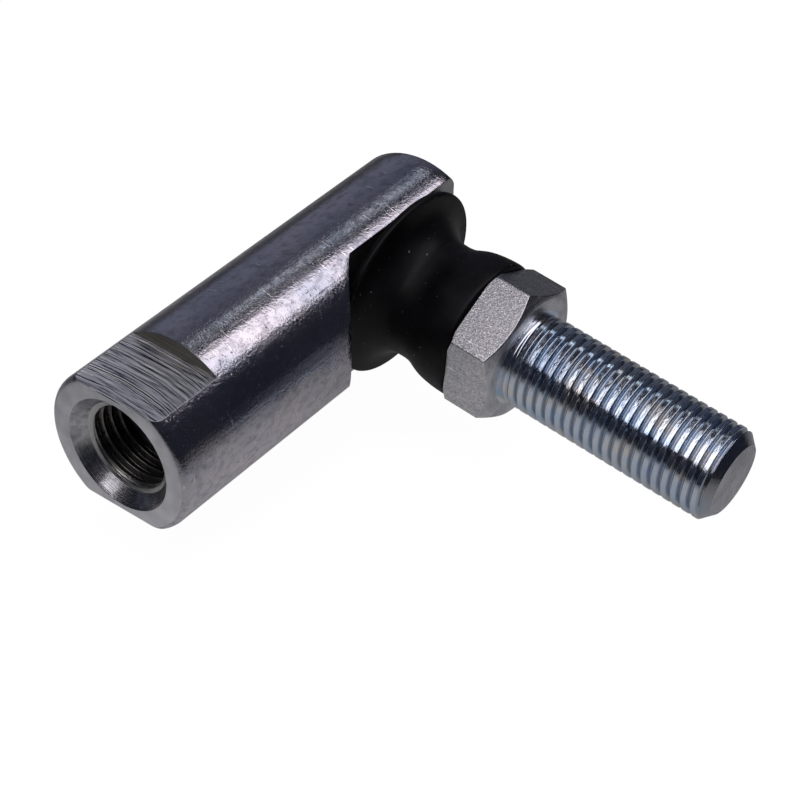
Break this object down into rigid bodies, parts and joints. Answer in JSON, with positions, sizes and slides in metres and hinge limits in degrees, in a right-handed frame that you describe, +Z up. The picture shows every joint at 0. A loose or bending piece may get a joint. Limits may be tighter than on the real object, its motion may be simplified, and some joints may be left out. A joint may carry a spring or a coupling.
{
  "type": "rod end bearing",
  "caption": "Right-angle ball joint rod end: round-bar housing with threaded socket and wrench flats, ball stud with hexagon and thread, rubber dust boot.",
  "frame": {"origin": "middle of the base of the bounding box, with the rod end lying on a table", "axes": "+Y along the housing to its closed end, +X the side that the stud comes out of, +Z up; the stud droops 6.1 degrees from +X"},
  "size_m": [0.0594, 0.054, 0.0228],
  "materials": {
    "housing_zinc": "bright zinc plate, satin, with fine grain and handling scratches",
    "stud_zinc": "bright zinc plate, glossy thread",
    "boot_rubber": "satin black moulded rubber",
    "nylon": "moulded nylon",
    "bronze": "turned bronze",
    "spring_steel": "dark spring steel"
  },
  "bodies": {
    "housing": {"housing": "housing_zinc", "seat_cup": "nylon", "race_half_upper": "bronze", "race_half_lower": "bronze", "disc_spring": "spring_steel", "retaining_ring": "spring_steel", "boot_base": "boot_rubber"},
    "boot_waist": {"boot_waist": "boot_rubber"},
    "boot_cuff": {"boot_cuff": "boot_rubber"},
    "ball_stud": {"ball_stud": "stud_zinc"}
  },
  "joints": [
    {"name": "stud_swing_vertical", "type": "hinge", "parent": "housing", "child": "boot_waist", "pos_m": [-0.02018, 0.0156, 0.01193], "axis": [0, 1, 0], "range_deg": [-18.6, 6.4], "deforming": ["boot_waist"]},
    {"name": "stud_swing_sideways", "type": "hinge", "parent": "boot_waist", "child": "boot_cuff", "pos_m": [-0.02018, 0.0156, 0.01193], "axis": [0.1063, 0, 0.9943], "range_deg": [-12.5, 12.5]},
    {"name": "stud_spin", "type": "hinge", "parent": "boot_cuff", "child": "ball_stud", "pos_m": [-0.02018, 0.0156, 0.01193], "axis": [0.9943, 0, -0.1063], "continuous": true}
  ]
}
